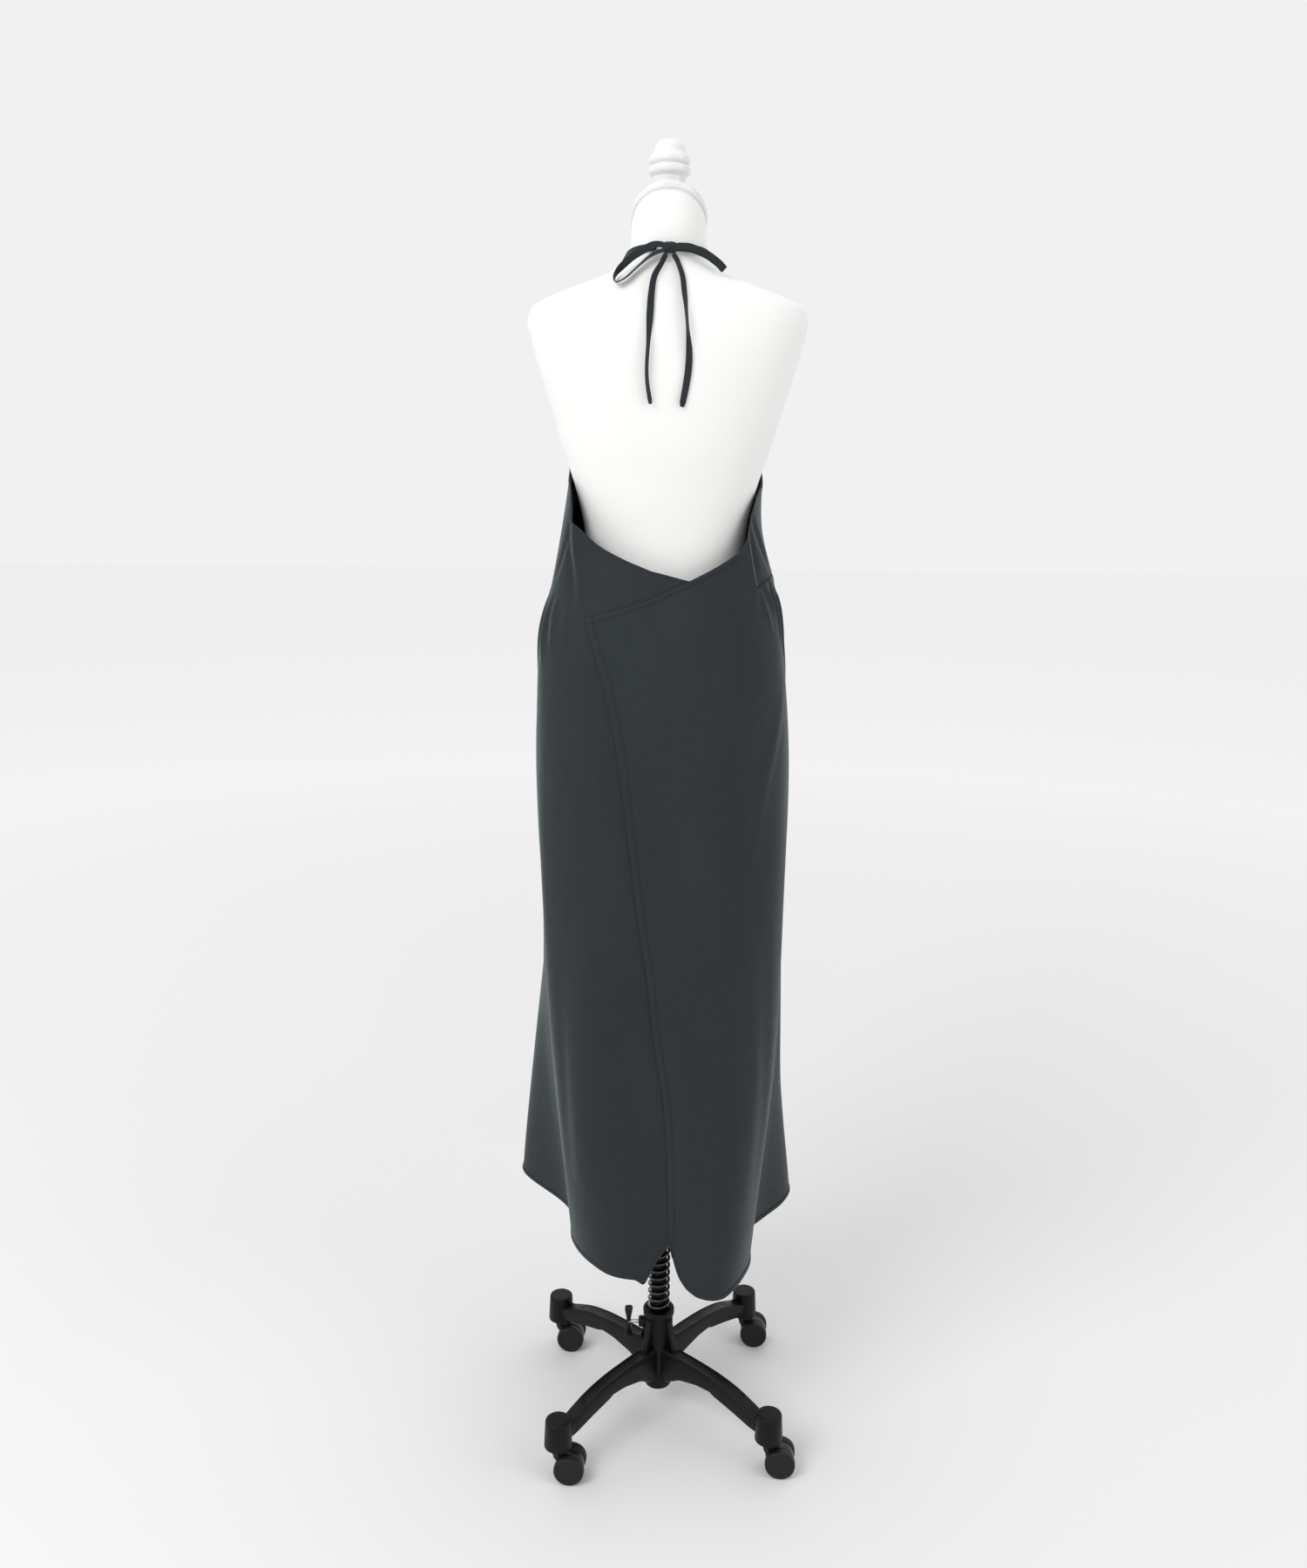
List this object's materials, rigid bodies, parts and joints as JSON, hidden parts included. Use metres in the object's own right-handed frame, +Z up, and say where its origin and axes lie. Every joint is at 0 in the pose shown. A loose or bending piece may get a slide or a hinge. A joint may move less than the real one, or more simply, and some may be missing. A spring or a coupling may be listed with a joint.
{
  "type": "apron dress on a dress form",
  "caption": "Open-backed halter apron dress with a wrapped skirt and a neck bow, worn by a limbless dress form on a spring column and a castor stand.",
  "frame": {"origin": "on the floor under the column's axis", "axes": "+Z up, +Y toward the garment's front, +X toward the right seen from behind the garment"},
  "size_m": [0.4267, 0.3754, 1.8095],
  "materials": {
    "base_casting": "black satin",
    "spring": "black",
    "torso": "plain white cover",
    "neck_cap": "smooth white",
    "finial": "white lacquer",
    "pole": "black, smooth",
    "form_plate": "plain",
    "spring_collar": "plain",
    "bib_front": "matte charcoal twill",
    "back_bodice_left": "matte charcoal twill",
    "back_panel_right": "matte charcoal twill",
    "skirt_front": "matte charcoal twill",
    "skirt_back_left": "matte charcoal twill",
    "neck_strap_left": "matte charcoal twill",
    "neck_strap_right": "matte charcoal twill",
    "bow_knot": "matte charcoal twill",
    "bow_loop_left": "matte charcoal twill",
    "bow_loop_right": "matte charcoal twill",
    "tie_tail_left": "matte charcoal twill",
    "tie_tail_right": "matte charcoal twill",
    "clamp_screw": "steel shaft with a black wing",
    "castor_hood_fl": "black",
    "castor_wheels_fl": "black",
    "castor_hood_fr": "black",
    "castor_wheels_fr": "black",
    "castor_hood_nr": "black",
    "castor_wheels_nr": "black",
    "castor_hood_nl": "black",
    "castor_wheels_nl": "black"
  },
  "bodies": {
    "base": {"base_casting": "base_casting", "spring": "spring"},
    "upper": {"torso": "torso", "neck_cap": "neck_cap", "finial": "finial", "pole": "pole", "form_plate": "form_plate", "spring_collar": "spring_collar", "bib_front": "bib_front", "back_bodice_left": "back_bodice_left", "back_panel_right": "back_panel_right", "skirt_front": "skirt_front", "skirt_back_left": "skirt_back_left", "neck_strap_left": "neck_strap_left", "neck_strap_right": "neck_strap_right", "bow_knot": "bow_knot", "bow_loop_left": "bow_loop_left", "bow_loop_right": "bow_loop_right", "tie_tail_left": "tie_tail_left", "tie_tail_right": "tie_tail_right"},
    "screw": {"clamp_screw": "clamp_screw"},
    "castor_fl": {"castor_hood_fl": "castor_hood_fl"},
    "wheels_fl": {"castor_wheels_fl": "castor_wheels_fl"},
    "castor_fr": {"castor_hood_fr": "castor_hood_fr"},
    "wheels_fr": {"castor_wheels_fr": "castor_wheels_fr"},
    "castor_nr": {"castor_hood_nr": "castor_hood_nr"},
    "wheels_nr": {"castor_wheels_nr": "castor_wheels_nr"},
    "castor_nl": {"castor_hood_nl": "castor_hood_nl"},
    "wheels_nl": {"castor_wheels_nl": "castor_wheels_nl"}
  },
  "joints": [
    {"name": "height", "type": "slide", "parent": "base", "child": "upper", "axis": [0, 0, 1], "range_m": [-0.1, 0], "deforming": ["spring"]},
    {"name": "clamp_turn", "type": "hinge", "parent": "base", "child": "screw", "pos_m": [-0.03, 0, 0.1415], "axis": [1, 0, 0], "range_deg": [-90, 90]},
    {"name": "swivel_fl", "type": "hinge", "parent": "base", "child": "castor_fl", "pos_m": [-0.15869, 0.14223, 0.06], "axis": [0, 0, 1], "continuous": true},
    {"name": "roll_fl", "type": "hinge", "parent": "castor_fl", "child": "wheels_fl", "pos_m": [-0.14175, 0.14075, 0.0215], "axis": [0.0872, 0.9962, 0], "continuous": true},
    {"name": "swivel_fr", "type": "hinge", "parent": "base", "child": "castor_fr", "pos_m": [0.14223, 0.15869, 0.06], "axis": [0, 0, 1], "continuous": true},
    {"name": "roll_fr", "type": "hinge", "parent": "castor_fr", "child": "wheels_fr", "pos_m": [0.15917, 0.15721, 0.0215], "axis": [0.0872, 0.9962, 0], "continuous": true},
    {"name": "swivel_nr", "type": "hinge", "parent": "base", "child": "castor_nr", "pos_m": [0.15869, -0.14223, 0.06], "axis": [0, 0, 1], "continuous": true},
    {"name": "roll_nr", "type": "hinge", "parent": "castor_nr", "child": "wheels_nr", "pos_m": [0.17562, -0.14371, 0.0215], "axis": [0.0872, 0.9962, 0], "continuous": true},
    {"name": "swivel_nl", "type": "hinge", "parent": "base", "child": "castor_nl", "pos_m": [-0.14223, -0.15869, 0.06], "axis": [0, 0, 1], "continuous": true},
    {"name": "roll_nl", "type": "hinge", "parent": "castor_nl", "child": "wheels_nl", "pos_m": [-0.1253, -0.16017, 0.0215], "axis": [0.0872, 0.9962, 0], "continuous": true}
  ]
}
